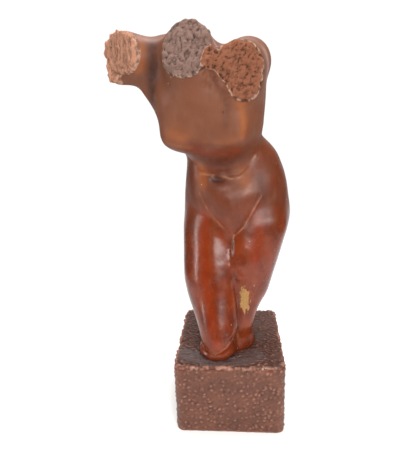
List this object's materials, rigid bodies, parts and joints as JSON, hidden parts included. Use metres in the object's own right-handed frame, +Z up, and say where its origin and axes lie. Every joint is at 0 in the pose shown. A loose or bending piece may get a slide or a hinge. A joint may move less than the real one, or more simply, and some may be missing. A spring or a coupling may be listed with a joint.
{
  "type": "plaster torso statue",
  "caption": "Plaster female torso, leaning forward, broken off at neck, arms and knees, on a square rough-tooled plinth.",
  "frame": {"origin": "centre of the plinth's underside", "axes": "+Z up, the figure faces -Y, +X to the right of the picture"},
  "size_m": [0.1974, 0.1489, 0.4401],
  "materials": {
    "patinated_plaster": "satin",
    "tooled_plaster": "matte"
  },
  "bodies": {
    "root": {"torso": "patinated_plaster", "plinth": "tooled_plaster"}
  },
  "joints": []
}
